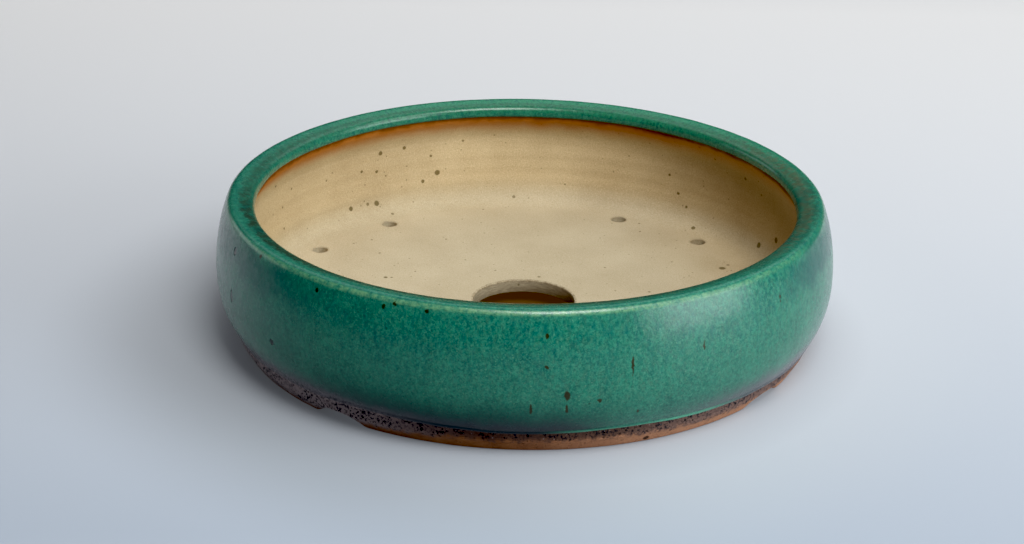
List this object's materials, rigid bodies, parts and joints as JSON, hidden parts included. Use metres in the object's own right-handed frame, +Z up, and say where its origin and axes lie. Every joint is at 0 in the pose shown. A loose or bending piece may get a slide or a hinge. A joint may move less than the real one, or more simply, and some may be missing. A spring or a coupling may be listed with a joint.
{
  "type": "bonsai pot",
  "caption": "Round shallow bonsai pot of fired clay with a green glaze, an inward lip, a drain hole, tie-wire holes and low feet.",
  "frame": {"origin": "on the ground, under the centre of the pot", "axes": "+Z up, along the pot's axis; +X and +Y through two of the gaps between the feet"},
  "size_m": [0.224, 0.224, 0.0523],
  "materials": {
    "clay": "bare fired stoneware, buff with brown specks",
    "toasted_clay": "bare fired stoneware, toasted orange-brown",
    "glaze": "semi-gloss mottled green glaze"
  },
  "bodies": {
    "root": {"floor_disc": "clay", "wall_ring": "clay", "foot_1": "toasted_clay", "foot_2": "toasted_clay", "foot_3": "toasted_clay", "foot_4": "toasted_clay", "glaze_coat": "glaze"}
  },
  "joints": []
}
